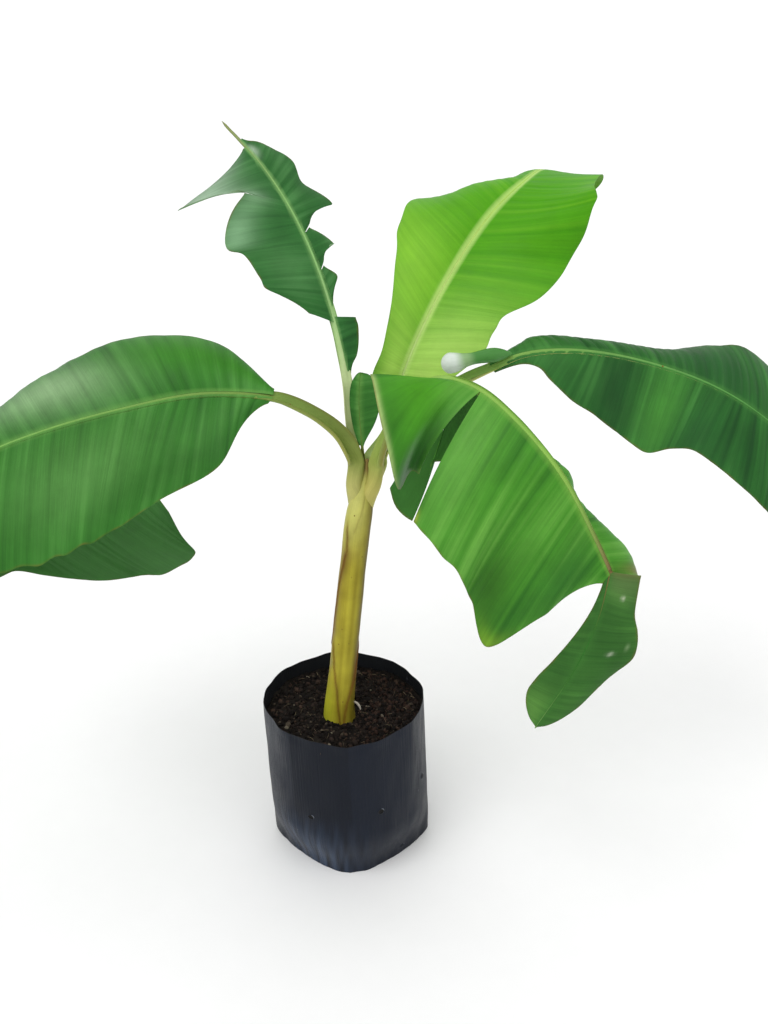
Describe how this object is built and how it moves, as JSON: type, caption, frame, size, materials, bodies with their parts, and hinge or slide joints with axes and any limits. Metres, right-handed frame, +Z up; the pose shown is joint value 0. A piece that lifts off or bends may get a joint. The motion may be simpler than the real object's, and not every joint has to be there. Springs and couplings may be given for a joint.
{
  "type": "potted banana plant",
  "caption": "Young banana plant with broad arching leaves on a short false stem, rooted in a black film nursery bag of potting mix.",
  "frame": {"origin": "middle of the bag's flat underside, on the surface it stands on", "axes": "+Z up along the plant, +Y away from its front, +X to its right as seen from the front"},
  "size_m": [1.0314, 0.4715, 0.857],
  "materials": {
    "bag_film": "satin",
    "potting_mix": "matte",
    "stem": "satin",
    "stalk": "satin",
    "blade_old": "satin",
    "blade_deep": "satin",
    "blade_young": "satin",
    "blade_front": "satin"
  },
  "bodies": {
    "root": {"bag": "bag_film", "soil": "potting_mix", "pseudostem": "stem", "midrib_left": "stalk", "midrib_left_bend": "stalk", "midrib_left_tip": "stalk", "blade_left_back": "blade_old", "blade_left_front": "blade_old", "blade_left_bend_back": "blade_old", "blade_left_bend_front": "blade_old", "blade_left_tip_back": "blade_old", "blade_left_tip_front": "blade_old", "midrib_back_left": "stalk", "blade_back_left_left": "blade_deep", "blade_back_left_left_tip": "blade_deep", "blade_back_left_right_base": "blade_deep", "blade_back_left_right_low": "blade_deep", "blade_back_left_right_middle": "blade_deep", "blade_back_left_right_top": "blade_deep", "midrib_back_right": "stalk", "midrib_back_right_fold": "stalk", "blade_back_right_left": "blade_young", "blade_back_right_left_top": "blade_young", "blade_back_right_left_fold": "blade_young", "blade_back_right_right": "blade_young", "blade_back_right_right_top": "blade_young", "blade_back_right_right_fold": "blade_young", "midrib_right": "stalk", "blade_right_back": "blade_deep", "blade_right_front": "blade_deep", "midrib_front": "stalk", "blade_front_base": "blade_front", "blade_front_near": "blade_front", "blade_front_far_base": "blade_front", "blade_front_far_valley": "blade_front", "blade_front_far": "blade_front", "midrib_front_tip": "stalk", "blade_front_tip_near": "blade_front", "blade_front_tip_far": "blade_front", "midrib_heart": "stalk", "blade_heart_left": "blade_old", "blade_heart_right": "blade_old"}
  },
  "joints": []
}
